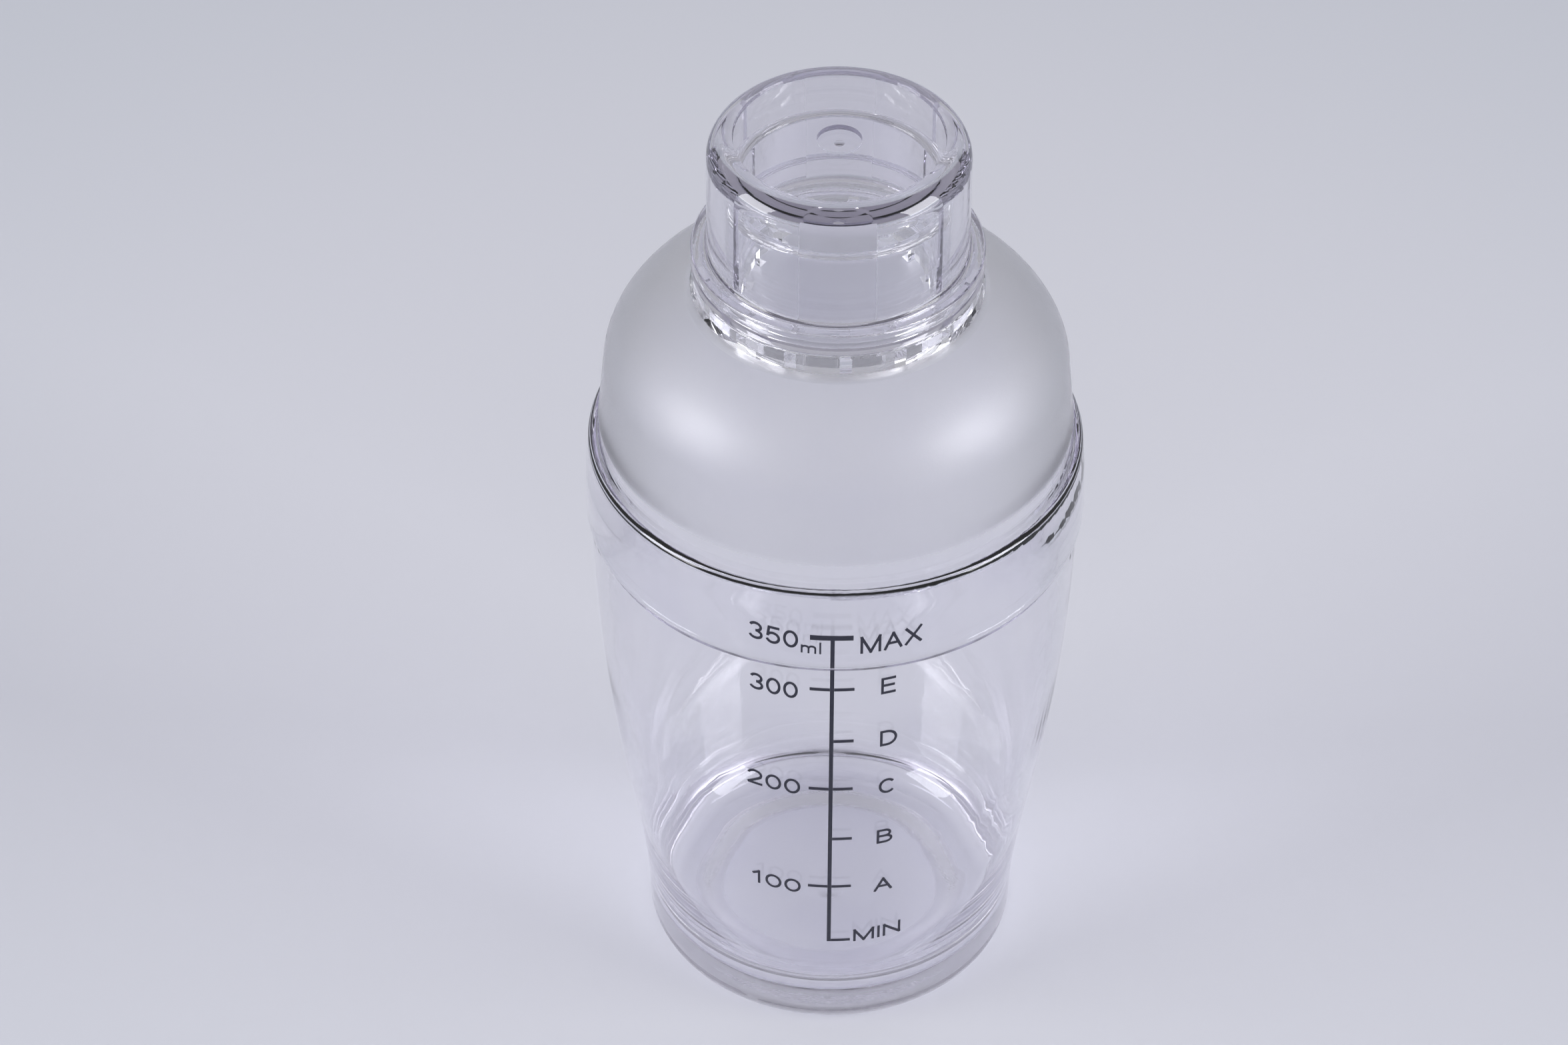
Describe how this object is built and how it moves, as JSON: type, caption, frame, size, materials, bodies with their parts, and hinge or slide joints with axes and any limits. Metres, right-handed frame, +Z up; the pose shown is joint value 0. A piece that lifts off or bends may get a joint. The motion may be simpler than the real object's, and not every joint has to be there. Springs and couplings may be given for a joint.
{
  "type": "cobbler drinks shaker",
  "caption": "Clear tapering drinks shaker: a cup with a printed volume scale, a frosted domed strainer lid pushed into its mouth, and a thick clear cap over the lid's neck.",
  "frame": {"origin": "centre of the foot ring, on the plane the cup stands on", "axes": "+Z up along the axis that all three mouldings are turned about, from the foot to the cap; the printed scale faces -Y; +X is to the right when the scale is read"},
  "size_m": [0.0808, 0.081, 0.1662],
  "materials": {
    "clear_plastic": "clear, polished inside and out",
    "lid_plastic": "clear, with the dome etched to a fine satin frost",
    "cap_plastic": "clear, polished, thick walled",
    "print_ink": "dark screen-printed ink film"
  },
  "bodies": {
    "cup": {"cup_body": "clear_plastic", "print_scale_line": "print_ink", "print_level_ticks": "print_ink", "print_level_numbers": "print_ink", "print_unit_ml": "print_ink", "print_level_letters": "print_ink", "print_max_word": "print_ink", "print_min_word": "print_ink"},
    "lid": {"strainer_lid": "lid_plastic"},
    "cap": {"cap": "cap_plastic"}
  },
  "joints": [
    {"name": "lid_lift", "type": "slide", "parent": "cup", "child": "lid", "axis": [0, 0, 1], "range_m": [0, 0.035]},
    {"name": "cap_lift", "type": "slide", "parent": "lid", "child": "cap", "axis": [0, 0, 1], "range_m": [0, 0.028]}
  ]
}
